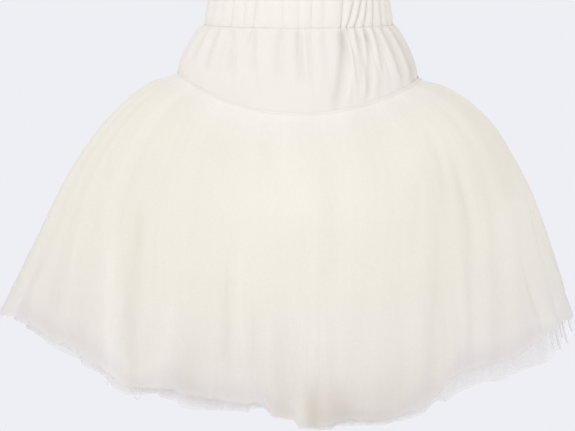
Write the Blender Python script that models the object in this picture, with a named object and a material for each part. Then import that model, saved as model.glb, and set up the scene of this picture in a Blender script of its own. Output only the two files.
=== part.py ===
"""A puffed tulle skirt in the shape it takes when worn, open at the waist and the hem.

A gathered waistband sits on a plain yoke of two panels, and three gathered layers of stiff tulle are sewn
to the yoke's lower edge, each cut as a front and a back. Metres, +Z up. The front faces -Y, and left and
right are as seen from the front. The origin is the middle of the waistband, where the waist holds it.
"""

import math
from collections import namedtuple

import bmesh
import bpy
from mathutils import Vector

GAP = 0.0003  # between pieces at a seam

# How far the skirt reaches from its middle on each of its four sides, how much further it bulges halfway
# down the tulle, and how high the yoke's lower edge and the hem lie.
Side = namedtuple("Side", "band_top waist yoke_foot hem bulge yoke_foot_z hem_z")
LEFT = Side(0.117, 0.122, 0.157, 0.396, -0.002, -0.085, -0.394)
RIGHT = Side(0.117, 0.124, 0.157, 0.364, 0.011, -0.095, -0.396)
FRONT = Side(0.092, 0.096, 0.118, 0.312, 0.002, -0.130, -0.457)
BACK = Side(0.092, 0.096, 0.122, 0.318, 0.004, -0.118, -0.446)

# The waistband is a casing of the yoke's cloth, gathered on the elastic inside it. Each row is a share of
# the height down from the top, with how far the gathers stand out from the wall's middle there.
BAND_HEIGHT = 0.034
BAND_WALL = 0.0028
BAND_GATHERS = 40
BAND_COLUMNS = 4  # to each gather
BandRow = namedtuple("BandRow", "down depth")
BAND_ROWS = (BandRow(0.0, 0.0007), BandRow(0.3, 0.0018), BandRow(0.75, 0.0018), BandRow(1.0, 0.0006))

# The yoke hangs from the band's gathers, which fade out towards its lower edge.
YOKE_WALL = 0.0015
YOKE_DEPTH = 0.0022
YOKE_FADE = 0.6  # under 1, so the gathers last until near the lower edge
YOKE_SHARES = (0.0, 0.2, 0.5, 1.0)  # of its height, where its rows of faces meet

# The deepest folds, on the front and on the back. Angles run in degrees from the right side towards the back.
# A fold is a bell of this width, pushed out (or in, below 0), and starts at a share of the way down.
Fold = namedtuple("Fold", "angle width push start")
YOKE_FOLDS = (
    Fold(271, 3, -0.0050, 0.1),
    Fold(291, 4, -0.0100, 0.1),
    Fold(308, 4, -0.0080, 0.1),
    Fold(320, 4, -0.0070, 0.1),
    Fold(68, 4, -0.0080, 0.1),
    Fold(112, 4, -0.0100, 0.1),
)
TULLE_FOLDS = (
    Fold(184, 5, -0.008, 0.45),
    Fold(208, 4, -0.007, 0.40),
    Fold(229, 4, 0.009, 0.30),
    Fold(237, 4, -0.012, 0.35),
    Fold(255, 3, -0.008, 0.55),
    Fold(266, 3, 0.006, 0.55),
    Fold(281, 3, -0.006, 0.30),
    Fold(301, 4, -0.011, 0.50),
    Fold(313, 4, -0.007, 0.20),
    Fold(333, 5, -0.009, 0.45),
    Fold(24, 5, -0.010, 0.40),
    Fold(61, 4, 0.009, 0.35),
    Fold(72, 4, -0.012, 0.40),
    Fold(98, 5, -0.008, 0.50),
    Fold(127, 4, -0.012, 0.30),
    Fold(152, 5, 0.008, 0.45),
)

# The line that the tulle takes from the yoke to the hem: at each share of its length, how much of its reach
# and of its drop it has made.
ProfileRow = namedtuple("ProfileRow", "share out down")
PROFILE = (
    ProfileRow(0.00, 0.000, 0.000),
    ProfileRow(0.03, 0.052, 0.003),
    ProfileRow(0.08, 0.138, 0.024),
    ProfileRow(0.18, 0.285, 0.104),
    ProfileRow(0.32, 0.460, 0.236),
    ProfileRow(0.50, 0.637, 0.427),
    ProfileRow(0.72, 0.800, 0.677),
    ProfileRow(1.00, 1.000, 1.000),
    ProfileRow(1.30, 1.220, 1.330),
)

# Each layer of tulle lies inside the one before, with shares of its own length at which its rows of faces
# meet. The lengths are shares of the outer layer's, and the ripple is how unevenly the hem is cut.
Layer = namedtuple("Layer", "name place gathers columns depth length ripple turn shares")
LAYERS = (
    Layer("outer", 0, 36, 5, 0.0080, 1.00, 0.008, 0.4, (0.0, 0.06, 0.15, 0.28, 0.46, 0.70, 1.0)),
    Layer("middle", 1, 30, 4, 0.0075, 0.99, 0.014, 2.1, (0.0, 0.07, 0.18, 0.36, 0.64, 1.0)),
    Layer("inner", 2, 26, 4, 0.0075, 0.98, 0.014, 4.4, (0.0, 0.07, 0.18, 0.36, 0.64, 1.0)),
)
TULLE_WALL = 0.0015
LAYER_PITCH = TULLE_WALL + 2 * GAP  # from layer to layer where they are sewn to the yoke
LAYER_SPREAD = 0.0185  # and how much more by the hem
SPREAD_CURVE = 0.7  # under 1, so the layers part and the gathers deepen soon after the yoke
TULLE_LIFT = 0.0065  # of the outer layer's top above the yoke's lower edge
TULLE_START = 0.0007  # from the yoke to the outer layer's top edge, which the wall's slope takes up inside
LAYER_STEP = 0.0006  # and how much further out the next layer starts

# Where the raw hem hangs lower or higher, in shares of the length: on all layers, then on the under ones.
Drop = namedtuple("Drop", "angle width drop")
SAGS = (Drop(213, 17, -0.050), Drop(286, 12, 0.040), Drop(100, 14, 0.035))
TABS = (
    Drop(272, 4, 0.035),
    Drop(322, 10, 0.030),
    Drop(352, 6, 0.030),
    Drop(65, 10, 0.030),
    Drop(150, 6, 0.025),
)

IVORY_CLOTH = (0.90, 0.865, 0.80, 1.0)
IVORY_TULLE = (0.89, 0.855, 0.765, 1.0)
CLOTH_ROUGHNESS = 0.85


def sides_at(angle):
    """The side and the end that this angle lies between, and how far it is towards each."""
    across, along = math.cos(angle), math.sin(angle)
    return (RIGHT if across > 0 else LEFT), (BACK if along > 0 else FRONT), across, along


def ring(angle, size):
    """A point of the oval ring that a named reach of the four sides makes, at height 0."""
    side, end, across, along = sides_at(angle)
    return Vector((getattr(side, size) * across, getattr(end, size) * along, 0))


def between(angle, size):
    """A named size of the four sides, blended at this angle."""
    side, end, across, along = sides_at(angle)
    return getattr(side, size) * across**2 + getattr(end, size) * along**2


def profile(share):
    """How far out and down the tulle is at this share of its length, on a smooth curve through PROFILE."""
    last = len(PROFILE) - 1
    i = max(n for n in range(last) if n == 0 or PROFILE[n].share <= share)
    before, low, high, after = (Vector(PROFILE[min(max(n, 0), last)]) for n in (i - 1, i, i + 1, i + 2))
    span = high[0] - low[0]
    t = (share - low[0]) / span
    slope_low = (high - before) / (high[0] - before[0]) * span
    slope_high = (after - low) / (after[0] - low[0]) * span
    point = (
        low * (2 * t**3 - 3 * t**2 + 1)
        + slope_low * (t**3 - 2 * t**2 + t)
        + high * (3 * t**2 - 2 * t**3)
        + slope_high * (t**3 - t**2)
    )
    return point[1], point[2]


def drift(angle, turn):
    """How far the gathers have strayed from even spacing, in radians of a gather."""
    slow = 1.1 * math.sin(2 * angle + turn)
    quick = 0.8 * math.sin(5 * angle - turn) + 0.5 * math.sin(9 * angle + turn)
    return slow + quick


def gather(angle, count, turn):
    """Uneven gathers round a ring, from 0 on a crest to -1 in the deepest trough."""
    unevenness = 0.8 + 0.2 * math.sin(7 * angle + 3 * turn)
    return (math.cos(count * angle + drift(angle, turn)) - 1) / 2 * unevenness


def gather_angles(count, columns, turn):
    """Angles at which each gather has the same number of columns, one of them on its crest."""
    rounds = 60  # each brings the angle closer to the one that has its drift
    angles = []
    for step in range(count * columns):
        phase = math.tau * step / columns
        angle = phase / count
        for _ in range(rounds):
            angle = (phase - drift(angle, turn)) / count
        angles.append(angle % math.tau)
    return sorted(angles)


def bell(angle, centre, width):
    """1 at the centre and fading to 0 on both sides. The centre and width are in degrees."""
    away = (math.degrees(angle) - centre + 180) % 360 - 180
    return math.exp(-((away / width) ** 2))


def ramp(value, start=0.0):
    """0 up to start, and from there rising steadily to 1 at 1."""
    return max(0.0, (value - start) / (1 - start))


def outward(form, angle, share):
    """The outward direction of a form, from points close by."""
    step = 0.001
    around = form(angle + step, share) - form(angle - step, share)
    down = form(angle, share + step) - form(angle, max(share - step, 0.0))
    return down.cross(around).normalized()


def yoke_form(angle, share):
    """The yoke without its gathers."""
    point = ring(angle, "waist").lerp(ring(angle, "yoke_foot"), math.sin(share * math.pi / 2))
    top = -BAND_HEIGHT / 2 - GAP
    point.z = top + (between(angle, "yoke_foot_z") - top) * share
    return point


def yoke_surface(angle, share):
    """The yoke's outer face: gathers at the top, and a few folds that reach further down."""
    above_seam = max(0.0, 1 - share)
    gathers = 2 * YOKE_DEPTH * above_seam**YOKE_FADE * gather(angle, BAND_GATHERS, 0)
    folds = sum(f.push * bell(angle, f.angle, f.width) * ramp(share, f.start) for f in YOKE_FOLDS)
    return yoke_form(angle, share) + outward(yoke_form, angle, share) * (gathers + folds * above_seam)


def skirt_form(angle, share):
    """The puffed shape of the tulle without its folds."""
    out, down = profile(share)
    foot = ring(angle, "yoke_foot")
    point = (foot + foot.normalized() * TULLE_START).lerp(ring(angle, "hem"), out)
    point += foot.normalized() * between(angle, "bulge") * math.sin(math.pi * min(share, 1.0))
    top = between(angle, "yoke_foot_z") + TULLE_LIFT
    point.z = top + (between(angle, "hem_z") - top) * down
    return point


def tulle_surface(layer, angle, share):
    """A tulle layer's outer face."""
    spread = ramp(share) ** SPREAD_CURVE
    inside = layer.place * (LAYER_PITCH + LAYER_SPREAD * spread)
    folds = sum(f.push * bell(angle, f.angle, f.width) * ramp(share, f.start) for f in TULLE_FOLDS)
    gathers = 2 * layer.depth * spread * gather(angle, layer.gathers, layer.turn)
    start = skirt_form(angle, share) + ring(angle, "yoke_foot").normalized() * LAYER_STEP * layer.place
    return start + outward(skirt_form, angle, share) * (folds + gathers - inside)


def hem_share(layer, angle):
    """Where a layer's hem is, as a share of the outer layer's length."""
    ripple = layer.ripple * math.sin(layer.gathers * angle / 2 + drift(angle, layer.turn))
    drops = SAGS + TABS if layer.place else SAGS
    return layer.length + ripple + sum(d.drop * bell(angle, d.angle, d.width) for d in drops)


def sheet(angles, rows, point_at):
    """A grid of faces with a column at each angle and its rows going down, each point put in its place."""
    mesh = bmesh.new()
    bmesh.ops.create_grid(mesh, x_segments=len(angles) - 1, y_segments=rows - 1, size=1)
    for vert in mesh.verts:
        column = round((1 + vert.co.x) / 2 * (len(angles) - 1))
        row = round((1 - vert.co.y) / 2 * (rows - 1))
        vert.co = point_at(angles[column], row)
    mesh.normal_update()
    return mesh


def add_piece(name, mesh, colour):
    """Puts a finished mesh in the scene as a named piece with its own material."""
    material = bpy.data.materials.new(f"{name}_cloth")
    material.use_nodes = True
    shader = material.node_tree.nodes["Principled BSDF"]
    shader.inputs["Base Color"].default_value = colour
    shader.inputs["Roughness"].default_value = CLOTH_ROUGHNESS
    data = bpy.data.meshes.new(name)
    mesh.to_mesh(data)
    mesh.free()
    data.shade_smooth()
    data.set_sharp_from_angle(angle=math.radians(50))
    data.materials.append(material)
    bpy.context.scene.collection.objects.link(bpy.data.objects.new(name, data))


def add_panel(name, front, angles, rows, point_at, thickness, colour):
    """Half a ring of cloth, between the two side seams at y = 0."""
    first, last = (math.pi, math.tau) if front else (0.0, math.pi)
    clear = 0.7 * math.tau / len(angles)  # the least angle from a seam to a column
    columns = [first] + [a for a in angles if first + clear < a < last - clear] + [last]
    mesh = sheet(columns, rows, point_at)
    bmesh.ops.solidify(mesh, geom=mesh.faces[:], thickness=thickness)
    for vert in mesh.verts:
        if abs(vert.co.y) < 1.1 * thickness:  # the seam's two faces lie flat against each other
            vert.co.y = -GAP / 2 if front else GAP / 2
    add_piece(name, mesh, colour)


def build_band():
    """A tube of cloth, flattened round the elastic: gathers outside and a plain face inside."""
    angles = gather_angles(BAND_GATHERS, BAND_COLUMNS, 0)
    angles.append(angles[0] + math.tau)
    lining = [BandRow(row.down, None) for row in (BAND_ROWS[-1], BAND_ROWS[0])]
    rows = [*BAND_ROWS, *lining, BAND_ROWS[0]]

    def point_at(angle, row):
        down, depth = rows[row]
        point = ring(angle, "band_top").lerp(ring(angle, "waist"), down)
        push = -BAND_WALL if depth is None else 2 * depth * (gather(angle, BAND_GATHERS, 0) + 0.5)
        point += point.normalized() * push
        point.z = BAND_HEIGHT * (0.5 - down)
        return point

    mesh = sheet(angles, len(rows), point_at)
    bmesh.ops.remove_doubles(mesh, verts=mesh.verts[:], dist=GAP / 10)
    add_piece("waistband", mesh, IVORY_CLOTH)


def build_yoke():
    angles = gather_angles(BAND_GATHERS, BAND_COLUMNS, 0)

    def point_at(angle, row):
        return yoke_surface(angle, YOKE_SHARES[row])

    for name, front in (("yoke_front", True), ("yoke_back", False)):
        add_panel(name, front, angles, len(YOKE_SHARES), point_at, YOKE_WALL, IVORY_CLOTH)


def build_tulle(layer):
    angles = gather_angles(layer.gathers, layer.columns, layer.turn)

    def point_at(angle, row):
        return tulle_surface(layer, angle, layer.shares[row] * hem_share(layer, angle))

    for end, front in (("front", True), ("back", False)):
        name = f"tulle_{layer.name}_{end}"
        add_panel(name, front, angles, len(layer.shares), point_at, TULLE_WALL, IVORY_TULLE)


for old in list(bpy.data.objects):
    bpy.data.objects.remove(old)
build_band()
build_yoke()
for layer in LAYERS:
    build_tulle(layer)
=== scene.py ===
"""A puffed tulle skirt in the shape it takes when worn: a gathered casing on a plain cloth yoke, and three
gathered layers of stiff net below it, cut raw at the hem. Metres, +Z up, the front faces -Y, and the origin
is the middle of the waistband.
"""
import math
from collections import namedtuple

import bmesh
import bpy
import numpy as np
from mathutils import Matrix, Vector


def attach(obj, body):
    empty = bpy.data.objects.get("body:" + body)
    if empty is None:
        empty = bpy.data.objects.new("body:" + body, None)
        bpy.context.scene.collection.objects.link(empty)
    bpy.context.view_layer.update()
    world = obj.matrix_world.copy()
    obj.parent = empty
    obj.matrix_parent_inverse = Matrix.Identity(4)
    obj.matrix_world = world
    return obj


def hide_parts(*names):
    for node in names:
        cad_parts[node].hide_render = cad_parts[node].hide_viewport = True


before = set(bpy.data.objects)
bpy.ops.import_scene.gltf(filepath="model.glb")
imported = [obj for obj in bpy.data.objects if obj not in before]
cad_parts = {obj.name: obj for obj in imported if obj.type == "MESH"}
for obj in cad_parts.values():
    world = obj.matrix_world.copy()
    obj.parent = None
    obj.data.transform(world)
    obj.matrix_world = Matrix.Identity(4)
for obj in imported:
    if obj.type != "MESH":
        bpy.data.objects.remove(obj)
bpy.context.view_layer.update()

# ---------------------------------------------------------------------------------------------------------
# The studio: a wide pale floor well below the hem, a large soft lamp in front and above, and the even light
# of a white room all round. The camera stands a little above the waist and looks slightly down.
CAMERA_AT = Vector((-0.0139, -2.64, 0.117))
CAMERA_AIM = Vector((-0.0139, 0.0, -0.267))
LENS = 126.5
FLOOR_Z = -1.0
FLOOR_REACH = 60.0
ROOM_COLOUR = (0.855, 0.863, 0.904)  # as the camera sees the floor and the room behind
ROOM_LIGHT = 0.878  # of the white walls and ceiling on the skirt
FLOOR_LIGHT = 0.73  # and of the floor, from below


def add_node(tree, kind, inputs=None, **settings):
    """A shader node with its settings, each input set to a value or joined to another node's output."""
    node = tree.nodes.new(kind)
    for name, value in settings.items():
        setattr(node, name, value)
    for name, value in (inputs or {}).items():
        if isinstance(value, bpy.types.NodeSocket):
            tree.links.new(value, node.inputs[name])
        else:
            node.inputs[name].default_value = value
    return node


def new_material(name):
    """A material with nothing in it but its output."""
    material = bpy.data.materials.new(name)
    material.use_nodes = True
    material.node_tree.nodes.clear()
    return material, material.node_tree


scene = bpy.context.scene
scene.view_settings.view_transform = "Standard"
scene.cycles.transparent_max_bounces = 32

world = bpy.data.worlds.new("room_light")
world.use_nodes = True
world.node_tree.nodes.clear()
tree = world.node_tree
path = add_node(tree, "ShaderNodeLightPath")
lighting = add_node(tree, "ShaderNodeBackground", {"Color": (1.0, 0.995, 0.98, 1), "Strength": ROOM_LIGHT})
seen = add_node(tree, "ShaderNodeBackground", {"Color": (*ROOM_COLOUR, 1)})
mix = add_node(tree, "ShaderNodeMixShader",
               {0: path.outputs["Is Camera Ray"], 1: lighting.outputs[0], 2: seen.outputs[0]})
add_node(tree, "ShaderNodeOutputWorld", {"Surface": mix.outputs[0]})
scene.world = world

camera = bpy.data.objects.new("camera", bpy.data.cameras.new("camera"))
camera.data.lens = LENS
camera.data.clip_end = 100
camera.location = CAMERA_AT
camera.rotation_euler = (CAMERA_AIM - CAMERA_AT).to_track_quat("-Z", "Y").to_euler()
scene.collection.objects.link(camera)
scene.camera = camera

Lamp = namedtuple("Lamp", "name place size watts colour")
LAMPS = (
    Lamp("key_lamp", (-1.7, -3.6, 1.5), 4.8, 75.5, (1.0, 1.0, 1.0)),
    Lamp("fill_lamp", (2.6, -1.8, 0.0), 2.0, 13, (0.96, 0.94, 1.01)),
    Lamp("left_lamp", (-3.0, -1.2, 0.2), 2.0, 2.5, (1.0, 1.0, 1.0)),
)
for lamp in LAMPS:
    light = bpy.data.lights.new(lamp.name, "AREA")
    light.size = lamp.size
    light.energy = lamp.watts
    light.color = lamp.colour
    holder = bpy.data.objects.new(lamp.name, light)
    holder.location = lamp.place
    holder.rotation_euler = (Vector((0, 0, -0.25)) - holder.location).to_track_quat("-Z", "Y").to_euler()
    scene.collection.objects.link(holder)

disc = bmesh.new()
bmesh.ops.create_circle(disc, cap_ends=True, segments=96, radius=FLOOR_REACH)
bmesh.ops.translate(disc, verts=disc.verts[:], vec=(0, 0, FLOOR_Z))
floor_mesh = bpy.data.meshes.new("studio_floor")
disc.to_mesh(floor_mesh)
disc.free()
floor = bpy.data.objects.new("studio_floor", floor_mesh)
scene.collection.objects.link(floor)
material, tree = new_material("studio_floor")
path = add_node(tree, "ShaderNodeLightPath")
lighting = add_node(tree, "ShaderNodeEmission", {"Color": (1.0, 0.995, 0.98, 1), "Strength": FLOOR_LIGHT})
glow = add_node(tree, "ShaderNodeEmission", {"Color": (*ROOM_COLOUR, 1)})
mix = add_node(tree, "ShaderNodeMixShader",
               {0: path.outputs["Is Camera Ray"], 1: lighting.outputs[0], 2: glow.outputs[0]})
add_node(tree, "ShaderNodeOutputMaterial", {"Surface": mix.outputs[0]})
floor_mesh.materials.append(material)

# ---------------------------------------------------------------------------------------------------------
# The casing: a strip of the yoke's plain woven cloth folded over the elastic, one closed ring. The elastic
# draws it into uneven gathers, sharp in their troughs and round on top, with one wide flat pleat in front.
Side = namedtuple("Side", "band_top waist yoke_foot hem bulge shoulder yoke_foot_z hem_z")
LEFT = Side(0.115, 0.122, 0.157, 0.396, -0.0055, 0.0000, -0.085, -0.394)
RIGHT = Side(0.116, 0.124, 0.157, 0.364, 0.0110, 0.0060, -0.093, -0.396)
FRONT = Side(0.092, 0.096, 0.118, 0.312, 0.0020, 0.0000, -0.130, -0.457)
BACK = Side(0.092, 0.096, 0.122, 0.318, 0.0040, 0.0020, -0.118, -0.446)
CASING_HEIGHT = 0.034
CASING_THICK = 0.0028
CASING_PUFF = 0.0044  # of a full gather, from its trough to its top
CASING_RISE = 0.0034  # of the ruffled top edge
CASING_EDGES = 0.45  # of a gather's fullness is left at the top edge and at the stitching
STITCH_DOWN = 0.93  # of the casing's height
STITCH_SINK = 0.0001  # of the cloth along the row of stitches
STITCH_PUCKER = 0.0022  # and how much deeper in the troughs between the gathers
STITCH_WIDE = 0.0024
CASING_COLUMNS = 1200
CASING_ROWS = 40
PUFF_MIDDLE = 0.55  # of a gather's fullness, where the cloth lies on its even form
CASING_FLAT = (0.95, 0.036)
# The troughs between the gathers, in degrees from the right side towards the back: where each crosses the
# middle of the casing, how far it leans from there to the edges, and how deep it is.
Trough = namedtuple("Trough", "angle lean depth")
FRONT_TROUGHS = (
    Trough(188.0, 2.0, 0.5), Trough(201.2, 1.5, 0.5), Trough(214.2, 1.0, 0.4), Trough(225.0, 0.0, 0.6),
    Trough(235.0, -0.5, 0.5), Trough(242.2, 0.5, 0.7), Trough(250.0, 0.0, 0.4), Trough(260.0, -0.5, 0.5),
    Trough(269.8, 0.0, 0.6), Trough(277.8, 0.5, 0.6), Trough(285.5, 0.5, 0.5), Trough(297.5, 1.8, 1.0),
    Trough(303.3, 4.2, 1.0), Trough(309.3, 4.5, 1.1), Trough(315.5, 3.6, 1.1), Trough(322.5, 2.4, 1.1),
    Trough(331.8, 1.6, 1.1), Trough(340.5, 1.0, 1.1), Trough(349.5, 0.5, 1.1),
)


def sides_at(angle, size):
    """A named size of the side and end that each angle lies between, and how far it is towards each."""
    across, along = np.cos(angle), np.sin(angle)
    side = np.where(across > 0, getattr(RIGHT, size), getattr(LEFT, size))
    end = np.where(along > 0, getattr(BACK, size), getattr(FRONT, size))
    return side, end, across, along


def reach(angle, size):
    """How far out to each side and end a named reach of the four sides is at each angle."""
    side, end, across, along = sides_at(angle, size)
    return side * across, end * along


def between(angle, size):
    """A named size of the four sides, blended at each angle."""
    side, end, across, along = sides_at(angle, size)
    return side * across**2 + end * along**2


def chance(angle, knots, seed):
    """Smooth chance from -1 to 1 round the ring, with this many knots."""
    values = np.random.default_rng(seed).uniform(-1, 1, knots)
    place = (angle / math.tau * knots) % knots
    low = place.astype(int) % knots
    share = place - np.floor(place)
    share = share * share * (3 - 2 * share)
    return values[low] * (1 - share) + values[(low + 1) % knots] * share


def step_up(low, high, value):
    """0 below low, 1 above high and smooth between them."""
    share = np.clip((value - low) / (high - low), 0, 1)
    return share * share * (3 - 2 * share)


def mirrored_troughs(troughs):
    """The same gathers on the other half of the ring, each a little out of its mirrored place."""
    for trough in troughs:
        stray = 2.2 * math.sin(trough.angle * 1.3)
        yield Trough(360 - trough.angle + stray, -trough.lean, 0.6 + 0.35 * math.cos(trough.angle))


TROUGHS = sorted([*FRONT_TROUGHS, *mirrored_troughs(FRONT_TROUGHS)])


def puffs(angle, down, roundness=0.55):
    """The gathers from 0 in their troughs to 1 on their tops. Down runs from 0 at the top edge to 1."""
    degrees = np.degrees(angle) % 360
    best = np.zeros_like(degrees + down)
    lean = 2 * (down - 0.5)
    for here, after in zip(TROUGHS, [*TROUGHS[1:], TROUGHS[0]]):
        start = here.angle - here.lean * lean
        width = (after.angle - after.lean * lean - start) % 360
        share = ((degrees - start) % 360) / width
        inside = np.sin(np.pi * np.clip(share, 0, 1)) ** roundness
        sunk = here.depth * (1 - share) + after.depth * share
        best = np.where(share <= 1, 1 - sunk * (1 - inside), best)
    return best


def stitch_sink(angle, away):
    """How far the row of stitches draws the cloth in, this far in metres above or below it."""
    trough = 1 - puffs(angle, np.full_like(angle, STITCH_DOWN))
    return np.exp(-((away / STITCH_WIDE) ** 2)) * (STITCH_SINK + STITCH_PUCKER * trough**2)


def smooth_piece(name, data):
    """A smooth-shaded piece in the scene."""
    data.shade_smooth()
    piece = bpy.data.objects.new(name, data)
    scene.collection.objects.link(piece)
    return piece


def cloth_ring(name, columns, rows, surface, flat, marks):
    """A sheet that runs once round from the back, with its flat cloth in metres as its UV map."""
    mesh = bmesh.new()
    mesh.loops.layers.uv.new("flat_cloth")
    bmesh.ops.create_grid(mesh, x_segments=columns, y_segments=rows, size=1, calc_uvs=True)
    data = bpy.data.meshes.new(name)
    mesh.to_mesh(data)
    mesh.clear()
    places = np.empty(len(data.vertices) * 3)
    data.vertices.foreach_get("co", places)
    grid = places.reshape(-1, 3)
    angle = math.tau * (0.25 + (1 + grid[:, 0]) / 2)
    share = (1 - grid[:, 1]) / 2
    data.vertices.foreach_set("co", surface(angle, share).ravel())
    for mark, values in marks(angle, share).items():
        data.attributes.new(mark, "FLOAT", "POINT").data.foreach_set("value", values)
    corners = np.empty(len(data.loops) * 2)
    data.uv_layers[0].data.foreach_get("uv", corners)
    data.uv_layers[0].data.foreach_set("uv", (corners.reshape(-1, 2) * flat).ravel())
    mesh.from_mesh(data)
    ends = [v for v in mesh.verts if abs(v.co.x) < 0.001 and v.co.y > 0]
    bmesh.ops.remove_doubles(mesh, verts=ends, dist=1e-5)
    mesh.to_mesh(data)
    mesh.free()
    return smooth_piece(name, data)


def casing_puff(angle, down):
    """How far the casing's outer face stands out: gathers that close up at its edges and its stitching."""
    full = step_up(0.0, 0.28, down) * (1 - step_up(0.62, STITCH_DOWN, down))
    puff = (puffs(angle, down) - PUFF_MIDDLE) * CASING_PUFF * (CASING_EDGES + (1 - CASING_EDGES) * full)
    return puff - stitch_sink(angle, (down - STITCH_DOWN) * CASING_HEIGHT)


def casing_marks(angle, share):
    """For the material: how deep in a crease or under the stitches each place is, from 0 to 1, painted there
    as shade.
    """
    down = 0.5 - 0.5 * np.cos(share * math.tau)
    trough = 1 - puffs(angle, down)
    sewn = np.exp(-(((down - STITCH_DOWN) * CASING_HEIGHT / STITCH_WIDE) ** 2))
    return {"crease_shade": np.clip(trough**3 + sewn * trough**1.5, 0, 1)}


def casing_surface(angle, share):
    """A flattened tube: the gathered outer face from its lower edge up, over the top, and down inside."""
    turn = share * math.tau
    height = 0.5 * np.cos(turn)
    around = np.round(np.sin(turn), 9)
    round_edge = np.sign(around) * np.abs(around) ** 0.2
    down = 0.5 - height
    outside = 0.5 * (1 + round_edge)
    top_x, top_y = reach(angle, "band_top")
    low_x, low_y = reach(angle, "waist")
    x = top_x + (low_x - top_x) * down
    y = top_y + (low_y - top_y) * down
    length = np.hypot(x, y)
    push = outside * casing_puff(angle, down) - (1 - outside) * CASING_THICK
    ruffle = CASING_RISE * (0.4 + puffs(angle, down)) * (1 - step_up(0.0, 0.5, down))
    z = CASING_HEIGHT * height + ruffle
    return np.stack([x * (1 + push / length), y * (1 + push / length), z], axis=-1)


def woven_cloth(name, colour, crease_shade_tint):
    """Plain weave: a fine over-and-under of warp and weft, with slubs and a soft sheen, and painted shade,
    darker and warmer, in creases.
    """
    material, tree = new_material(name)
    uv = add_node(tree, "ShaderNodeUVMap", uv_map="flat_cloth")
    parts = add_node(tree, "ShaderNodeSeparateXYZ", {"Vector": uv.outputs[0]})
    waves = []
    for axis in ("X", "Y"):
        scaled = add_node(tree, "ShaderNodeMath", {0: parts.outputs[axis], 1: math.tau / 0.0009},
                          operation="MULTIPLY")
        waves.append(add_node(tree, "ShaderNodeMath", {0: scaled.outputs[0]}, operation="SINE"))
    weave = add_node(tree, "ShaderNodeMath", {0: waves[0].outputs[0], 1: waves[1].outputs[0]},
                     operation="MULTIPLY")
    stretch = add_node(tree, "ShaderNodeMapping", {"Vector": uv.outputs[0], "Scale": (900, 90, 1)})
    slubs = add_node(tree, "ShaderNodeTexNoise", {"Vector": stretch.outputs[0], "Scale": 1.0, "Detail": 3.0})
    height = add_node(tree, "ShaderNodeMath", {0: slubs.outputs[0], 1: 2.0, 2: weave.outputs[0]},
                      operation="MULTIPLY_ADD")
    bump = add_node(tree, "ShaderNodeBump",
                    {"Height": height.outputs[0], "Strength": 0.35, "Distance": 0.0002})
    tone = add_node(tree, "ShaderNodeMapRange", {"Value": height.outputs[0], "From Min": -0.6,
                    "From Max": 2.4, "To Min": 0.0, "To Max": 1.0})
    darker = tuple(0.955 * c for c in colour)
    colours = add_node(tree, "ShaderNodeMix", {"Factor": tone.outputs[0]}, data_type="RGBA")
    colours.inputs[6].default_value = (*darker, 1)
    colours.inputs[7].default_value = (*colour, 1)
    # Painted shade: in creases and under the stitches the colour is darkened towards the crease tint.
    crease_shade = add_node(tree, "ShaderNodeAttribute", attribute_name="crease_shade")
    creased = add_node(tree, "ShaderNodeMix", {"Factor": crease_shade.outputs["Fac"], 6: colours.outputs[2]},
                       data_type="RGBA", blend_type="MULTIPLY")
    creased.inputs[7].default_value = (*crease_shade_tint, 1)
    shader = add_node(tree, "ShaderNodeBsdfPrincipled", {
        "Base Color": creased.outputs[2], "Roughness": 0.78, "Normal": bump.outputs[0],
        "Specular IOR Level": 0.25, "Sheen Weight": 0.12, "Sheen Roughness": 0.5})
    add_node(tree, "ShaderNodeOutputMaterial", {"Surface": shader.outputs[0]})
    return material


CLOTH_COLOUR = (0.821, 0.783, 0.751)
CASING_COLOUR = (0.839, 0.810, 0.759)  # two plies of it over the elastic look a little creamier
# The crease tints are the colours of the painted shade in each cloth's creases.
plain_cloth = woven_cloth("plain_woven_cloth", CLOTH_COLOUR, (0.87, 0.862, 0.845))
casing_cloth = woven_cloth("casing_cloth", CASING_COLOUR, (0.87, 0.835, 0.77))
casing = cloth_ring("waistband_casing", CASING_COLUMNS, CASING_ROWS, casing_surface, CASING_FLAT,
                    casing_marks)
tube = bmesh.new()
tube.from_mesh(casing.data)
bmesh.ops.remove_doubles(tube, verts=tube.verts[:], dist=1e-6)
bmesh.ops.recalc_face_normals(tube, faces=tube.faces[:])
tube.to_mesh(casing.data)
tube.free()
casing.data.materials.append(casing_cloth)
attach(casing, "root")
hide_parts("waistband")

# ---------------------------------------------------------------------------------------------------------
# The stitching that closes the casing: one row of machine stitches just above its lower edge, in thread of
# the cloth's colour. Each stitch is a short rounded length of thread, sunk part way into the cloth.
STITCH_LONG = 0.0030
STITCH_THICK = 0.00030
STITCH_GAP = 0.0010


def casing_face(angle, down):
    """A point on the casing's outer face."""
    turn = np.arccos(np.clip(1 - 2 * down, -1, 1))
    return casing_surface(angle, turn / math.tau)


def stitch_row(name, points, along, out, long, thick):
    """Stitches joined as one piece: each a small rounded bar at its point, flattened onto the cloth."""
    mesh = bmesh.new()
    for point, forward, outward in zip(points, along, out):
        made = bmesh.ops.create_icosphere(mesh, subdivisions=1, radius=1.0)["verts"]
        forward = Vector(forward).normalized()
        outward = Vector(outward).normalized()
        upward = forward.cross(outward)
        for vert in made:
            x, y, z = vert.co
            vert.co = Vector(point) + forward * x * long / 2 + outward * y * thick + upward * z * thick
    data = bpy.data.meshes.new(name)
    mesh.to_mesh(data)
    mesh.free()
    return smooth_piece(name, data)


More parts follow.
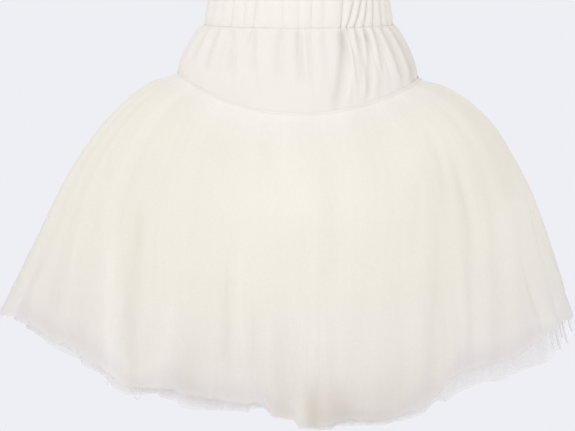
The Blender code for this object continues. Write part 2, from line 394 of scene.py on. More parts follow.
def thread_material(name, colour, cover=1.0):
    """Twisted thread, slightly glossier than the cloth, or a sliver of net that lets light past."""
    material, tree = new_material(name)
    where = add_node(tree, "ShaderNodeTexCoord")
    ply = add_node(tree, "ShaderNodeTexNoise", {"Vector": where.outputs["Object"], "Scale": 4000.0})
    bump = add_node(tree, "ShaderNodeBump",
                    {"Height": ply.outputs[0], "Strength": 0.4, "Distance": 0.0001})
    shader = add_node(tree, "ShaderNodeBsdfPrincipled", {
        "Base Color": (*colour, 1), "Roughness": 0.5, "Normal": bump.outputs[0], "Alpha": cover})
    add_node(tree, "ShaderNodeOutputMaterial", {"Surface": shader.outputs[0]})
    return material


fine_angles = np.linspace(0, math.tau, 4001)
path = casing_face(fine_angles, np.full_like(fine_angles, STITCH_DOWN))
lengths = np.concatenate([[0], np.cumsum(np.linalg.norm(np.diff(path, axis=0), axis=1))])
stitches = int(lengths[-1] / (STITCH_LONG + STITCH_GAP))
marks = (np.arange(stitches) + 0.5) / stitches * lengths[-1]
centres = np.stack([np.interp(marks, lengths, path[:, i]) for i in range(3)], axis=-1)
ahead = np.stack([np.interp(marks + 0.0003, lengths, path[:, i]) for i in range(3)], axis=-1)
forward = ahead - centres
outward_of = np.stack([forward[:, 1], -forward[:, 0], np.zeros(stitches)], axis=-1)
outward_of /= np.linalg.norm(outward_of, axis=1, keepdims=True)
thread = thread_material("sewing_thread", (0.85, 0.82, 0.77))
stitching = stitch_row("casing_stitches", centres + outward_of * STITCH_THICK * 0.4, forward, outward_of,
                       STITCH_LONG, STITCH_THICK)
stitching.data.materials.append(thread)
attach(stitching, "root")

# ---------------------------------------------------------------------------------------------------------
# The yoke: two panels of the same plain woven cloth, sewn at the sides. The casing's gathers run down into
# it and fade, and a few deeper folds reach further, most of them at the front's right.
YOKE_COLUMNS = 1200
YOKE_ROWS = 40
YOKE_LENGTH = 0.09  # about its height in metres, for what fades away from the stitching
YOKE_UNEVEN = 0.0014  # of the cloth between its gathers
DEEP_FOLD = 0.0046  # one this deep is fully creased
YOKE_THICK = 0.0006
YOKE_FLAT = (1.02, 0.136)
YOKE_GATHER = 0.0042
YOKE_OVER = 0.0002  # outside the casing's face at the stitching
SEAM_ALLOWANCE = 0.12  # of the yoke's height, hidden below the tulle's top edge
# Each fold runs from its angle at the top to its angle at the foot, is a soft bell this many degrees wide,
# and is pushed out (or in, below 0) between its two shares of the way down.
Fold = namedtuple("Fold", "top foot start end width push")
YOKE_FOLDS = (
    Fold(270.0, 272.5, 0.00, 0.66, 1.7, -0.0026),
    Fold(272.5, 275.0, 0.00, 0.55, 1.8, 0.0018),
    Fold(259.0, 262.0, 0.00, 0.62, 2.2, -0.0018),
    Fold(243.5, 251.0, 0.00, 0.60, 2.2, -0.0024),
    Fold(247.0, 255.0, 0.05, 0.70, 2.6, 0.0016),
    Fold(228.0, 240.0, 0.00, 0.60, 2.6, -0.0024),
    Fold(233.0, 244.0, 0.05, 0.60, 2.6, 0.0014),
    Fold(214.5, 220.0, 0.00, 0.65, 3.0, -0.0026),
    Fold(204.0, 205.0, 0.00, 0.60, 3.0, -0.0022),
    Fold(297.6, 287.0, 0.00, 1.00, 2.9, -0.0050),
    Fold(302.0, 291.5, 0.05, 0.90, 2.2, 0.0020),
    Fold(305.5, 299.5, 0.00, 0.75, 1.7, -0.0020),
    Fold(313.0, 303.0, 0.00, 0.92, 1.9, -0.0034),
    Fold(317.0, 308.0, 0.00, 0.80, 2.2, 0.0018),
    Fold(320.0, 314.0, 0.00, 0.65, 1.9, -0.0022),
    Fold(328.0, 331.0, 0.00, 0.85, 2.6, -0.0036),
    Fold(333.0, 337.0, 0.00, 0.80, 2.4, 0.0020),
    Fold(339.0, 344.0, 0.00, 1.00, 4.0, -0.0044),
    Fold(346.0, 351.0, 0.05, 1.00, 2.5, 0.0016),
    Fold(353.0, 357.0, 0.00, 1.00, 5.0, -0.0044),
    Fold(192.0, 184.0, 0.00, 0.80, 3.5, -0.0018),
    Fold(68.0, 72.0, 0.00, 0.90, 2.6, -0.0040),
    Fold(112.0, 108.0, 0.00, 1.00, 2.4, -0.0046),
    Fold(95.0, 94.0, 0.00, 0.60, 1.8, -0.0022),
    Fold(132.0, 137.0, 0.00, 0.75, 2.4, -0.0028),
    Fold(42.0, 36.0, 0.00, 0.80, 2.6, -0.0032),
    Fold(20.0, 14.0, 0.00, 0.70, 3.0, -0.0022),
)
YOKE_PAINTED_SHADES = (  # painted shade at its right side, where it turns away from the light
    Fold(337.0, 345.0, 0.10, 0.86, 11.0, 0.5),
    Fold(20.0, 14.0, 0.10, 0.86, 12.0, 0.4),
)


def fold_push(folds, angle, share, reach_in=0.08):
    """All these folds' push out or in at each point."""
    degrees = np.degrees(angle)
    total = np.zeros_like(degrees + share)
    for fold in folds:
        centre = fold.top + (fold.foot - fold.top) * share
        away = (degrees - centre + 180) % 360 - 180
        fade = step_up(fold.start - reach_in, fold.start + reach_in, share)
        fade = fade * (1 - step_up(fold.end - 2 * reach_in, fold.end + reach_in, share))
        total += fold.push * fade * np.exp(-((away / fold.width) ** 2))
    return total


def outward(form, angle, share):
    """The outward direction of a form, from points close by."""
    near = 0.001
    around = form(angle + near, share) - form(angle - near, share)
    down = form(angle, share + near) - form(angle, np.maximum(share - near, 0.0))
    out = np.cross(down, around)
    return out / np.linalg.norm(out, axis=-1, keepdims=True)


def yoke_form(angle, share):
    """The yoke without its gathers, from the casing's stitching down."""
    high_x, high_y = reach(angle, "band_top")
    low_x, low_y = reach(angle, "waist")
    top_x, top_y = high_x + (low_x - high_x) * STITCH_DOWN, high_y + (low_y - high_y) * STITCH_DOWN
    foot_x, foot_y = reach(angle, "yoke_foot")
    out = np.sin(np.minimum(share, 1) * math.pi / 2)
    top = CASING_HEIGHT * (0.5 - STITCH_DOWN)
    z = top + (between(angle, "yoke_foot_z") - top) * share
    return np.stack([top_x + (foot_x - top_x) * out, top_y + (foot_y - top_y) * out, z], axis=-1)


def yoke_surface(angle, share):
    """The yoke's outer face."""
    share = share * (1 + SEAM_ALLOWANCE)
    low = step_up(0.75, 0.97, share)
    sharp = puffs(angle, np.full_like(angle, STITCH_DOWN)) - PUFF_MIDDLE
    soft = puffs(angle, np.full_like(angle, STITCH_DOWN), 1.3) - PUFF_MIDDLE
    away = step_up(0.0, 0.10, share)
    top = CASING_PUFF * CASING_EDGES
    push = (sharp * top) * (1 - away) + soft * (top + (YOKE_GATHER - top) * away) * away
    push = push * (1 - 0.85 * step_up(0.10, 0.85, share)) * (1 - low)
    push += YOKE_UNEVEN * chance(angle + 0.1 * share, 26, 5) * away * (1 - low)
    push += fold_push(YOKE_FOLDS, angle, share) * away * (1 - low)
    push += YOKE_OVER * (3.0 * step_up(0.0, 0.015, share) - 2.0) - stitch_sink(angle, share * YOKE_LENGTH)
    out = outward(yoke_form, angle, share)
    out[..., 2] *= away
    return yoke_form(angle, share) + out * push[..., None]


def yoke_marks(angle, share):
    """For the material: how deep in a crease each place is, from 0 to 1, painted there as shade, and painted
    shade at its right side.
    """
    share = share * (1 + SEAM_ALLOWANCE)
    trough = 1 - puffs(angle, np.full_like(angle, STITCH_DOWN))
    sewn = np.exp(-((share * YOKE_LENGTH / STITCH_WIDE) ** 2))
    folded = fold_push(YOKE_FOLDS, angle, share) / DEEP_FOLD
    painted_side_shade = fold_push(YOKE_PAINTED_SHADES, angle, share) * (1 - step_up(0.8, 1.0, share))
    # Painted shade: darker in the folds' valleys, in the troughs under the stitching and at the right side.
    creased = 0.50 * np.maximum(-folded, 0) ** 1.2 + 0.8 * sewn * trough**1.5 + painted_side_shade
    return {"crease_shade": np.clip(creased, 0, 1)}


yoke = cloth_ring("yoke_cloth", YOKE_COLUMNS, YOKE_ROWS, yoke_surface, YOKE_FLAT, yoke_marks)
yoke.data.materials.append(plain_cloth)
wall = yoke.modifiers.new("cloth_thickness", "SOLIDIFY")
wall.thickness = YOKE_THICK
wall.offset = -1
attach(yoke, "root")
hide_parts("yoke_front", "yoke_back")

# ---------------------------------------------------------------------------------------------------------
# The tulle: three gathered rings of stiff net, one inside the other, sewn to the yoke's lower edge. Each is
# taken to be a doubled net whose plies are cut raw at slightly different lengths, so its hem is ragged.
PROFILE = np.array((  # share of the length, and how much of its reach and of its drop it has made
    (-0.02, -0.0035, -0.021), (0.00, -0.0012, -0.0105), (0.014, 0.0026, -0.0038),
    (0.028, 0.0130, 0.0022), (0.05, 0.046, 0.0140), (0.09, 0.135, 0.032),
    (0.18, 0.285, 0.104), (0.32, 0.460, 0.236), (0.50, 0.637, 0.427), (0.72, 0.800, 0.677),
    (1.00, 1.000, 1.000), (1.30, 1.220, 1.330), (1.60, 1.440, 1.660),
))
Net = namedtuple("Net", "name place columns rows gathers depth turn frayed hem seed flat area")
Hem = namedtuple("Hem", "angle share")
# Each layer's hem in front, from the left side round to the right, as a share of the length. Most of these
# rows were solved and thinned by a program from the real hem's outline, and not chosen by hand.
OUTER_HEM = (
    Hem(182, 1.010), Hem(190, 0.984), Hem(199.5, 0.951), Hem(207.5, 0.939), Hem(220.5, 0.940),
    Hem(225.5, 0.946),
    Hem(227, 0.962), Hem(231, 0.960), Hem(235.5, 0.978), Hem(238, 0.996), Hem(244, 0.977),
    Hem(247.0, 0.968), Hem(249, 0.980), Hem(254, 0.976), Hem(261, 0.982), Hem(262, 0.975), Hem(264, 0.980),
    Hem(265.5, 1.012), Hem(269, 1.017), Hem(270, 1.044), Hem(276, 1.046), Hem(276.5, 1.035),
    Hem(279, 1.029), Hem(285, 1.040), Hem(292.5, 1.033), Hem(294.5, 1.026), Hem(295.5, 1.011),
    Hem(297.5, 0.998), Hem(299, 0.984), Hem(300.5, 0.964), Hem(303, 0.952), Hem(308, 0.954),
    Hem(313.5, 0.962), Hem(319, 0.972), Hem(323, 0.966), Hem(327.5, 0.956), Hem(331.8, 0.962),
    Hem(335.5, 0.970), Hem(337.5, 0.962), Hem(340.2, 0.962), Hem(344.5, 0.974), Hem(350, 0.995),
    Hem(355, 1.006), Hem(358, 1.012),
)
MIDDLE_HEM = (
    Hem(182, 0.998), Hem(199.5, 0.958), Hem(215, 0.959), Hem(217, 0.949), Hem(222.5, 0.953),
    Hem(225, 0.972), Hem(231, 0.978), Hem(233.5, 1.001), Hem(236.5, 1.005), Hem(243, 0.984),
    Hem(244, 0.992), Hem(246.5, 0.985), Hem(248, 1.001), Hem(255, 1.002), Hem(261, 0.989),
    Hem(261.5, 0.979), Hem(263.5, 0.982), Hem(265.5, 1.010), Hem(269, 1.005), Hem(270, 1.031),
    Hem(274.5, 1.046), Hem(279.5, 1.027), Hem(287.5, 1.047), Hem(291, 1.033), Hem(295.5, 1.035),
    Hem(298.5, 1.010), Hem(300, 1.021), Hem(304, 1.000), Hem(310.5, 0.999), Hem(314.5, 1.021),
    Hem(319.5, 1.012), Hem(333.5, 1.053), Hem(339, 1.045), Hem(347, 1.048), Hem(358, 1.020),
)
INNER_HEM = (
    Hem(182, 1.009), Hem(186.5, 0.993), Hem(202.5, 0.968), Hem(210, 0.971), Hem(220.5, 0.963),
    Hem(222.5, 0.978), Hem(228.5, 0.981), Hem(232, 1.006), Hem(235, 1.014), Hem(242, 0.982),
    Hem(243, 0.991), Hem(246, 0.991), Hem(247.5, 1.007), Hem(260.5, 0.993), Hem(261, 0.982),
    Hem(263.5, 0.980), Hem(265, 1.003), Hem(269, 1.009), Hem(270, 1.036), Hem(276.5, 1.042),
    Hem(277.5, 1.031), Hem(287, 1.045), Hem(293.5, 1.043), Hem(297, 1.037), Hem(298.5, 1.018),
    Hem(300.5, 1.010), Hem(302.5, 1.022), Hem(305.5, 1.007), Hem(313.5, 1.006), Hem(318.5, 1.030),
    Hem(323.5, 1.029), Hem(340, 1.070), Hem(348, 1.060), Hem(358, 1.030),
)
NETS = (
    Net("tulle_outer", 0, 1400, 64, 36, 0.0027, 0.4, 0.010, OUTER_HEM, 11, (2.60, 0.43), 0.91),
    Net("tulle_middle", 1, 1200, 44, 30, 0.0035, 2.1, 0.012, MIDDLE_HEM, 23, (2.60, 0.43), 0.87),
    Net("tulle_inner", 2, 1200, 44, 26, 0.0035, 4.4, 0.012, INNER_HEM, 37, (2.50, 0.43), 0.83),
)
LAYER_PITCH = 0.0021  # from layer to layer where they are sewn to the yoke
LAYER_SPREAD = 0.0185  # and how much more by the hem
SPREAD_CURVE = 0.7  # under 1, so the layers part and the gathers deepen soon after the yoke
LAYER_STEP = 0.0006  # how much further out each next layer starts
TULLE_LIFT = 0.0065  # of the outer layer's top above the yoke's lower edge
TULLE_START = 0.0004  # from the yoke to the outer layer's top edge
NET_LENGTH = 0.42  # in metres, of a share of 1
CUTS = 110  # of the shears, all the way round
CUT_STRAY = 0.0030  # of the shears, as a share of the length
GENTLE_REACH = 0.058  # how much less the top of the puff juts out in front and behind than at the sides
GENTLE_DROP = 0.034  # and how much further it has fallen there
LEAN = math.radians(24)  # of the folds, which fall straighter than the rings spread
TULLE_FOLDS = (
    Fold(210.0, 234.7, 0.60, 1.05, 2.2, 0.0105),
    Fold(214.0, 239.3, 0.62, 1.05, 1.4, -0.0035),
    Fold(221.0, 238.8, 0.48, 0.95, 2.0, -0.0095),
    Fold(248.2, 249.4, 0.84, 1.10, 2.2, -0.0075),
    Fold(242.2, 244.0, 0.72, 1.06, 2.0, 0.0055),
    Fold(250.8, 257.4, 0.58, 0.95, 0.9, -0.0050),
    Fold(253.6, 259.8, 0.56, 0.92, 1.3, 0.0050),
    Fold(252.0, 292.0, 0.10, 0.38, 2.6, -0.0035),
    Fold(264.0, 276.0, 0.02, 0.42, 5.0, 0.0045),
    Fold(280.5, 276.0, 0.14, 0.62, 2.4, -0.0045),
    Fold(269.0, 269.0, 0.60, 0.78, 0.8, 0.0035),
    Fold(259.0, 262.0, 0.70, 0.96, 0.9, -0.0040),
    Fold(262.5, 265.0, 0.70, 0.96, 0.9, 0.0045),
    Fold(265.0, 267.6, 0.76, 1.06, 1.2, -0.0025),
    Fold(270.5, 270.5, 0.70, 0.96, 0.8, 0.0045),
    Fold(274.5, 272.8, 0.72, 0.95, 0.8, 0.0040),
    Fold(278.5, 276.5, 0.80, 1.00, 0.9, -0.0025),
    Fold(273.5, 273.0, 0.92, 1.12, 1.6, -0.0060),
    Fold(264.0, 265.5, 0.84, 1.12, 3.2, -0.0035),
    Fold(275.0, 274.0, 0.88, 1.12, 4.2, -0.0040),
    Fold(276.0, 275.0, 0.72, 0.92, 1.2, 0.0050),
    Fold(312.0, 287.0, 0.32, 0.62, 1.8, -0.0035),
    Fold(310.0, 298.4, 0.66, 1.06, 2.2, -0.0024),
    Fold(294.0, 291.5, 0.84, 1.10, 2.4, -0.0030),
    Fold(318.0, 304.0, 0.62, 1.02, 1.3, 0.0035),
    Fold(311.5, 298.0, 0.76, 0.94, 0.9, 0.0025),
    Fold(323.5, 293.0, 0.20, 0.46, 1.8, -0.0040),
    Fold(324.0, 307.0, 0.32, 0.62, 1.8, -0.0045),
    Fold(360.0, 332.0, 0.52, 0.74, 1.8, -0.0040),
    Fold(305.0, 363.0, 0.72, 1.00, 1.8, -0.0036),
    Fold(326.0, 330.0, 0.74, 0.95, 1.2, -0.0050),
    Fold(183.0, 209.0, 0.78, 0.96, 3.0, 0.0050),
    Fold(12.0, 26.0, 0.40, 1.05, 2.0, -0.0070),
    Fold(42.0, 56.0, 0.45, 1.05, 2.2, 0.0070),
    Fold(46.0, 60.0, 0.50, 1.05, 1.4, -0.0070),
    Fold(64.0, 74.0, 0.30, 0.90, 2.2, -0.0060),
    Fold(82.0, 86.0, 0.10, 0.70, 4.0, 0.0045),
    Fold(96.0, 93.0, 0.15, 0.70, 2.2, -0.0060),
    Fold(92.0, 91.0, 0.70, 1.05, 1.2, -0.0060),
    Fold(100.0, 97.0, 0.65, 1.05, 1.1, 0.0050),
    Fold(122.0, 112.0, 0.45, 1.00, 2.0, -0.0070),
    Fold(138.0, 126.0, 0.55, 1.05, 2.2, 0.0070),
    Fold(143.0, 130.0, 0.60, 1.05, 1.4, -0.0060),
    Fold(162.0, 152.0, 0.50, 1.05, 2.4, -0.0070),
)
NET_PAINTED_SHADES = (  # painted shade and painted light as a tone: darker spots along the hem, wide lighter and darker patches above it
    Fold(238.8, 239.2, 0.95, 1.20, 2.2, -1.5), Fold(254.0, 254.0, 0.93, 1.20, 7.0, -0.6),
    Fold(267.2, 267.2, 0.93, 1.20, 2.4, -1.8), Fold(272.3, 272.3, 0.94, 1.20, 1.6, -2.8),
    Fold(277.4, 277.4, 0.94, 1.20, 3.4, -3.4), Fold(284.0, 284.0, 0.96, 1.20, 4.0, -1.8),
    Fold(290.0, 289.0, 0.93, 1.20, 6.0, -1.2), Fold(300.0, 300.0, 0.90, 1.20, 6.0, -0.8),
    Fold(340.0, 334.0, 0.50, 1.20, 16.0, 0.75),
    Fold(240.0, 238.0, 0.03, 0.12, 16.0, 1.0), Fold(285.0, 286.0, 0.03, 0.10, 8.0, 0.3),
    Fold(274.0, 272.0, 0.42, 0.98, 22.0, -0.35), Fold(318.0, 306.0, 0.30, 0.80, 14.0, -0.45),
    Fold(222.0, 232.0, 0.30, 0.75, 12.0, -0.30),
    Fold(92.0, 92.0, 0.94, 1.20, 10.0, -1.1), Fold(120.0, 120.0, 0.90, 1.20, 8.0, -1.0),
)


def skirt_form(angle, share):
    """The puffed shape of the tulle without its folds."""
    knots = PROFILE[:, 0]
    i = np.clip(np.searchsorted(knots, share, side="right") - 1, 1, len(knots) - 3)
    before, low, high, after = (PROFILE[i + n] for n in (-1, 0, 1, 2))
    span = (high[..., 0] - low[..., 0])[..., None]
    t = ((share - low[..., 0]) / span[..., 0])[..., None]
    slope_low = (high - before) / (high - before)[..., :1] * span
    slope_high = (after - low) / (after - low)[..., :1] * span
    made = low * (2 * t**3 - 3 * t**2 + 1) + slope_low * (t**3 - 2 * t**2 + t)
    made = made + high * (3 * t**2 - 2 * t**3) + slope_high * (t**3 - t**2)
    gentle = step_up(0.015, 0.12, share) * (1 - step_up(0.12, 0.5, share)) * np.sin(angle) ** 2
    made = made + gentle[..., None] * np.array((0.0, -GENTLE_REACH, GENTLE_DROP))
    foot = np.stack(reach(angle, "yoke_foot"), axis=-1)
    away = foot / np.linalg.norm(foot, axis=-1, keepdims=True)
    start = foot + away * TULLE_START
    hem = np.stack(reach(angle, "hem"), axis=-1)
    flat = start + (hem - start) * made[..., 1:2]
    fuller = between(angle, "bulge") * np.sin(math.pi * np.minimum(share, 1.0))
    fuller = fuller + between(angle, "shoulder") * np.sin(math.pi * np.clip(share / 0.42, 0.0, 1.0))
    flat = flat + away * fuller[..., None]
    top = between(angle, "yoke_foot_z") + TULLE_LIFT
    z = top + (between(angle, "hem_z") - top) * made[..., 2]
    return np.concatenate([flat, z[..., None]], axis=-1)


def gathers(angle, count, turn):
    """Uneven gathers round a ring, from 0 on a crest to -1 in the deepest trough."""
    slow = 1.1 * np.sin(2 * angle + turn)
    quick = 0.8 * np.sin(5 * angle - turn) + 0.5 * np.sin(9 * angle + turn)
    unevenness = 0.8 + 0.2 * np.sin(7 * angle + 3 * turn)
    return (np.cos(count * angle + slow + quick) - 1) / 2 * unevenness


def smooth_hem(net, angle):
    """The hem's even line. The back is cut like the front turned half round, a little less unevenly."""
    behind = [Hem(row.angle + 180 + math.sin(row.angle), 1 + 0.8 * (row.share - 1)) for row in net.hem]
    table = np.array([*net.hem, *behind])
    degrees = (np.degrees(angle) - table[0, 0]) % 360
    return np.interp(degrees, [*(table[:, 0] - table[0, 0]), 360], [*table[:, 1], table[0, 1]])


def ragged(net, angle):
    """How the shears strayed along the hem: short straight cuts with small steps between them."""
    cuts = np.random.default_rng(net.seed + 1)
    edges = np.sort(cuts.uniform(0, math.tau, CUTS))
    offset = cuts.uniform(-1, 1, CUTS + 1)
    slope = cuts.uniform(-9, 9, CUTS + 1)
    i = np.searchsorted(edges, angle % math.tau)
    middle = np.concatenate([[0], (edges[1:] + edges[:-1]) / 2, [math.tau]])[i]
    tilt = np.clip(slope[i] * (angle % math.tau - middle), -0.6, 0.6)
    return CUT_STRAY * (0.55 * offset[i] + 0.45 * tilt + 0.25 * chance(angle, 460, net.seed + 2))


def net_shares(net, angle, share):
    """Each row's place along the cloth. Only the last rows follow the ragged cut."""
    even = smooth_hem(net, angle)
    return share * even + step_up(0.90, 1.0, share) * ragged(net, angle)


def fallen_angle(angle, share):
    """The angle that a fold has reached by this share of its fall."""
    return angle + LEAN * (share - 0.5) * np.sin(2 * (angle - 1.5 * math.pi))


def net_folds(net, angle, share):
    """How far the net is folded out or in, how much it doubles up, and its tone, part random, part painted
    shade and light.
    """
    spread = np.maximum(share, 0) ** SPREAD_CURVE
    fallen = fallen_angle(angle, share)
    big = gathers(fallen, net.gathers, net.turn)
    lively = 0.75 + 0.25 * chance(fallen, 17, net.seed + 3)
    upper, lower = chance(fallen, 120, net.seed + 4), chance(fallen, 96, net.seed + 5)
    medium = upper * (1 - share) + lower * share
    upper, lower = chance(fallen, 430, net.seed + 6), chance(fallen, 380, net.seed + 7)
    fine = upper * (1 - share) + lower * share
    upper, lower = chance(fallen, 46, net.seed + 9), chance(fallen, 34, net.seed + 10)
    broad = upper * (1 - share) + lower * share
    low = step_up(0.15, 0.9, share)
    push = 2 * net.depth * spread * big * lively * (0.6 + 0.25 * low) * (1 - 0.4 * np.cos(angle) ** 2)
    push += 0.0004 * medium * (0.10 + 0.90 * low) * step_up(0.0, 0.1, share)
    density = 0.15 * medium + 0.05 * fine + 0.3 * (big + 0.5) * low
    placed = fold_push(TULLE_FOLDS, angle, share, 0.07) if net.place == 0 else 0 * push
    shade = fold_push(NET_PAINTED_SHADES, angle, share, 0.07)
    # The tone: painted shade in the placed folds' valleys and painted light on their ridges, a random tone,
    # and the painted shades.
    return push + 0.5 * placed, density, placed / 0.010 + 0.48 * broad + shade


def net_surface(net, angle, share):
    """A layer's place: its form, its layer's distance inside the outer one, and its folds."""
    along = net_shares(net, angle, share)
    spread = np.maximum(along, 0) ** SPREAD_CURVE
    inside = net.place * (LAYER_PITCH + LAYER_SPREAD * spread)
    push, _, _ = net_folds(net, angle, along)
    foot = np.stack([*reach(angle, "yoke_foot"), np.zeros_like(angle)], axis=-1)
    away = foot / np.linalg.norm(foot, axis=-1, keepdims=True)
    start = skirt_form(angle, along) + away * LAYER_STEP * net.place
    return start + outward(skirt_form, angle, along) * (push - inside)[..., None]


def net_marks(net, angle, share):
    """For the material: how doubled the net is, its tone of painted shade, how far up from its cut, and which
    gather it is in.
    """
    along = net_shares(net, angle, share)
    _, density, fold = net_folds(net, angle, along)
    end = net_shares(net, angle, np.ones_like(share))
    uneven = net.frayed * (1 + 0.5 * chance(angle, 60, net.seed + 8))
    fraying = 0.12 + (end - along) * NET_LENGTH / uneven
    if net.place:
        thin = -0.11 + 0.10 * chance(angle, 64, net.seed + 12)
        alone = np.maximum(0.05 + (smooth_hem(NETS[0], angle) - along) * NET_LENGTH / 0.030, thin)
        fraying = np.minimum(fraying - 0.30, alone)
    fallen = fallen_angle(angle, along)
    return {"doubling": density, "fold": fold, "fraying": fraying, "along": along,
            "gather_x": np.cos(fallen), "gather_y": np.sin(fallen)}


def tulle(name, colours, hem_shade_colour, cover):
    """Stiff net, matt and pale: more or less see-through as it doubles up, thin as it frays, and greyed there
    by painted shade.
    """
    material, tree = new_material(name)
    uv = add_node(tree, "ShaderNodeUVMap", uv_map="flat_cloth")
    marks = {mark: add_node(tree, "ShaderNodeAttribute", attribute_name=mark).outputs["Fac"]
             for mark in ("doubling", "fold", "fraying", "along", "gather_x", "gather_y")}
    mesh_holes = add_node(tree, "ShaderNodeTexVoronoi",
                          {"Vector": uv.outputs[0], "Scale": 950.0, "Randomness": 0.5},
                          feature="DISTANCE_TO_EDGE")
    threads = add_node(tree, "ShaderNodeMapRange", {"Value": mesh_holes.outputs["Distance"],
                       "From Min": 0.05, "From Max": 0.30, "To Min": 0.07, "To Max": -0.045})
    place = add_node(tree, "ShaderNodeCombineXYZ",
                     {0: marks["gather_x"], 1: marks["gather_y"], 2: marks["along"]})
    narrow = add_node(tree, "ShaderNodeMapping", {"Vector": place.outputs[0], "Scale": (40, 40, 2.0)})
    streak = add_node(tree, "ShaderNodeTexNoise", {"Vector": narrow.outputs[0], "Scale": 1.0, "Detail": 2.0})
    tufts = add_node(tree, "ShaderNodeMapping", {"Vector": place.outputs[0], "Scale": (22, 22, 5)})
    tuft = add_node(tree, "ShaderNodeTexNoise", {"Vector": tufts.outputs[0], "Scale": 1.0, "Detail": 1.5})
    uneven = add_node(tree, "ShaderNodeMath", {0: tuft.outputs[0], 1: 0.36, 2: -0.18},
                      operation="MULTIPLY_ADD")
    frayed = add_node(tree, "ShaderNodeMath", {0: marks["fraying"], 1: uneven.outputs[0]}, operation="ADD")
    dense = add_node(tree, "ShaderNodeMapRange", {"Value": frayed.outputs[0], "From Min": -0.35,
                     "From Max": 0.55, "To Min": 0.20, "To Max": 1.0}, interpolation_type="SMOOTHSTEP")
    soft = add_node(tree, "ShaderNodeMath", {0: streak.outputs[0], 1: 0.04, 2: cover - 0.02},
                    operation="MULTIPLY_ADD")
    thick = add_node(tree, "ShaderNodeMath", {0: marks["doubling"], 1: 0.05, 2: soft.outputs[0]},
                     operation="MULTIPLY_ADD")
    with_threads = add_node(tree, "ShaderNodeMath", {0: thick.outputs[0], 1: threads.outputs[0]},
                            operation="ADD")
    seam = add_node(tree, "ShaderNodeMapRange", {"Value": marks["along"], "From Min": 0.010,
                    "From Max": 0.036, "To Min": 1.0, "To Max": 0.0}, interpolation_type="SMOOTHSTEP")
    closed = add_node(tree, "ShaderNodeMath", {0: with_threads.outputs[0], 1: seam.outputs[0]},
                      operation="MAXIMUM")
    alpha = add_node(tree, "ShaderNodeMath", {0: closed.outputs[0], 1: dense.outputs[0]},
                     operation="MULTIPLY", use_clamp=True)
    # Colour down the length, with painted shade at the seam and towards the hem.
    ramp = add_node(tree, "ShaderNodeValToRGB", {"Fac": marks["along"]})
    stops = ramp.color_ramp.elements
    for at, _ in colours[1:-1]:
        stops.new(at)
    for stop, (at, colour) in zip(stops, colours):
        stop.position = at
        stop.color = (*colour, 1)
    # Near its cut the colour turns to the frayed colour, greyer and darker: painted shade.
    near_hem = add_node(tree, "ShaderNodeMapRange", {"Value": frayed.outputs[0], "From Min": 0.7,
                        "From Max": 3.6, "To Min": 1.0, "To Max": 0.0}, interpolation_type="SMOOTHSTEP")
    hem_shaded = add_node(tree, "ShaderNodeMix", {"Factor": near_hem.outputs[0]}, data_type="RGBA")
    tree.links.new(ramp.outputs[0], hem_shaded.inputs[6])
    hem_shaded.inputs[7].default_value = (*hem_shade_colour, 1)
    # The fold tone tints the colour: darker as painted shade where it is low, lighter as painted light where
    # it is high.
    folded = [add_node(tree, "ShaderNodeMapRange", {"Value": marks["fold"], "From Min": -4.0,
                       "From Max": 4.0, "To Min": low, "To Max": 2 - low}) for low in (0.833, 0.817, 0.767)]
    tone = add_node(tree, "ShaderNodeCombineXYZ", {i: f.outputs[0] for i, f in enumerate(folded)})
    colour = add_node(tree, "ShaderNodeVectorMath", {0: hem_shaded.outputs[2], 1: tone.outputs[0]},
                      operation="MULTIPLY")
    bump = add_node(tree, "ShaderNodeBump",
                    {"Height": streak.outputs[0], "Strength": 0.04, "Distance": 0.0008})
    face = add_node(tree, "ShaderNodeBsdfPrincipled", {
        "Base Color": colour.outputs[0], "Roughness": 0.7, "Normal": bump.outputs[0],
        "Specular IOR Level": 0.2, "Sheen Weight": 0.1, "Sheen Roughness": 0.5})
    through = add_node(tree, "ShaderNodeBsdfTranslucent", {"Color": colour.outputs[0]})
    light_through = add_node(tree, "ShaderNodeMapRange", {"Value": marks["along"], "From Min": 0.02,
                             "From Max": 0.10, "To Min": 0.18, "To Max": 0.35},
                             interpolation_type="SMOOTHSTEP")
    lit = add_node(tree, "ShaderNodeMixShader",
                   {0: light_through.outputs[0], 1: face.outputs[0], 2: through.outputs[0]})
    clear = add_node(tree, "ShaderNodeBsdfTransparent", {"Color": (1, 1, 1, 1)})
    seen = add_node(tree, "ShaderNodeMixShader",
                    {0: alpha.outputs[0], 1: clear.outputs[0], 2: lit.outputs[0]})
    add_node(tree, "ShaderNodeOutputMaterial", {"Surface": seen.outputs[0]})
    return material


TULLE_COLOURS_WITH_SHADE = (  # down the length: the net's ivory on the puff, darker close over the yoke at the seam and towards the hem, as painted shade
    (0.009, (0.836, 0.800, 0.760)), (0.023, (0.955, 0.926, 0.886)), (0.045, (0.950, 0.926, 0.888)),
    (0.20, (0.944, 0.925, 0.872)), (0.60, (0.938, 0.919, 0.870)), (1.00, (0.894, 0.869, 0.838)),
)
# Greyer and darker than the net: the painted shade near its cut.
FRAYED_SHADE_COLOUR = (0.819, 0.792, 0.792)
net_material = tulle("ivory_tulle", TULLE_COLOURS_WITH_SHADE, FRAYED_SHADE_COLOUR, 0.80)
for net in NETS:
    layer = cloth_ring(net.name, net.columns, net.rows, lambda a, s: net_surface(net, a, s), net.flat,
                       lambda a, s: net_marks(net, a, s))
    layer.data.materials.append(net_material)
    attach(layer, "root")
    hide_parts(f"{net.name}_front", f"{net.name}_back")

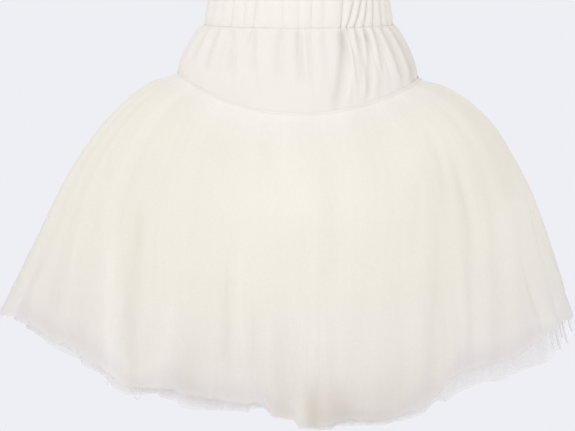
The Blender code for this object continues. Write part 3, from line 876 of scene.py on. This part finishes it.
# ---------------------------------------------------------------------------------------------------------
# Loose strands at the hem: slivers of net that the shears left hanging, a loop of one on the left and a few
# long ones at the right tip, and many short fine ones all round. They follow the outer layer's fall.
STRAND_SIDES = 6
STRAND_STEPS = 14
SHORT_STRANDS = 50
Strand = namedtuple("Strand", "thick path")  # the path in (degrees, share of the length)
LONG_STRANDS = (
    Strand(0.0010, ((233.9, 0.962), (234.1, 0.985), (234.5, 1.008))),
    Strand(0.0011, ((239.6, 0.984), (239.9, 1.000), (240.3, 1.016), (241.0, 1.021), (241.4, 1.013),
                    (241.3, 0.996), (241.1, 0.982))),
    Strand(0.0021, ((335.6, 0.962), (334.6, 0.990), (334.0, 1.034))),
    Strand(0.0018, ((332.6, 0.958), (331.8, 0.980), (331.2, 1.016))),
    Strand(0.0018, ((340.7, 0.956), (339.6, 0.996), (339.2, 1.036))),
    Strand(0.0014, ((338.4, 0.958), (337.9, 0.978), (337.6, 1.006))),
    Strand(0.0016, ((345.3, 0.968), (344.6, 0.992), (344.4, 1.020))),
    Strand(0.0009, ((226.1, 0.946), (226.6, 0.958), (227.3, 0.974))),
    Strand(0.0009, ((297.8, 0.992), (298.3, 1.008), (298.6, 1.026))),
    Strand(0.0008, ((52.0, 0.960), (52.6, 0.990), (53.4, 1.012))),
    Strand(0.0007, ((96.5, 1.000), (96.2, 1.030), (96.9, 1.056))),
    Strand(0.0008, ((151.0, 0.960), (152.2, 0.992), (152.8, 1.024))),
)


def short_strands():
    """Fine slivers just below the outer layer's cut, by chance."""
    luck = np.random.default_rng(71)
    for degrees in luck.uniform(0, 360, SHORT_STRANDS):
        end = float(smooth_hem(NETS[0], np.radians(np.array([degrees])))[0])
        drop, drift, thick = luck.uniform(0.006, 0.016), luck.uniform(-0.4, 0.4), luck.uniform(0.0002, 0.0004)
        middle, tip = (degrees + drift / 2, end), (degrees + drift, end + drop)
        yield Strand(thick, ((degrees, end - 0.004), middle, tip))


def strand_points(path):
    """Even points along a strand, smooth through its corners."""
    places = np.linspace(0, len(path) - 1, STRAND_STEPS + 1)
    knots = np.array(path)
    eased = [np.interp(places + shift, range(len(path)), knots[:, i])
             for i in (0, 1) for shift in (-0.3, 0, 0.3)]
    degrees, share = sum(eased[:3]) / 3, sum(eased[3:]) / 3
    angle = np.radians(degrees)
    push, _, _ = net_folds(NETS[0], angle, share)
    return skirt_form(angle, share) + outward(skirt_form, angle, share) * push[..., None]


strands = bmesh.new()
for strand in [*LONG_STRANDS, *short_strands()]:
    points = strand_points(strand.path)
    ahead = np.gradient(points, axis=0)
    side = np.cross(ahead, (0.0, 0.0, 1.0)) + np.array((1e-6, 0, 0))
    side /= np.linalg.norm(side, axis=1, keepdims=True)
    across = np.cross(side, ahead)
    across /= np.linalg.norm(across, axis=1, keepdims=True)
    made = bmesh.ops.create_grid(strands, x_segments=STRAND_SIDES, y_segments=STRAND_STEPS, size=1)["verts"]
    for vert in made:
        turn = (1 + vert.co.x) * math.pi
        step = round((1 + vert.co.y) / 2 * STRAND_STEPS)
        taper = strand.thick * (1 - 0.4 * step / STRAND_STEPS)
        round_it = side[step] * math.cos(turn) + across[step] * math.sin(turn)
        vert.co = Vector(points[step] + round_it * taper)
    bmesh.ops.remove_doubles(strands, verts=made, dist=1e-6)
data = bpy.data.meshes.new("hem_strands")
strands.to_mesh(data)
strands.free()
hem_strands = smooth_piece("hem_strands", data)
hem_strands.data.materials.append(thread_material("strand_of_net", (0.80, 0.78, 0.78), 0.50))
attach(hem_strands, "root")
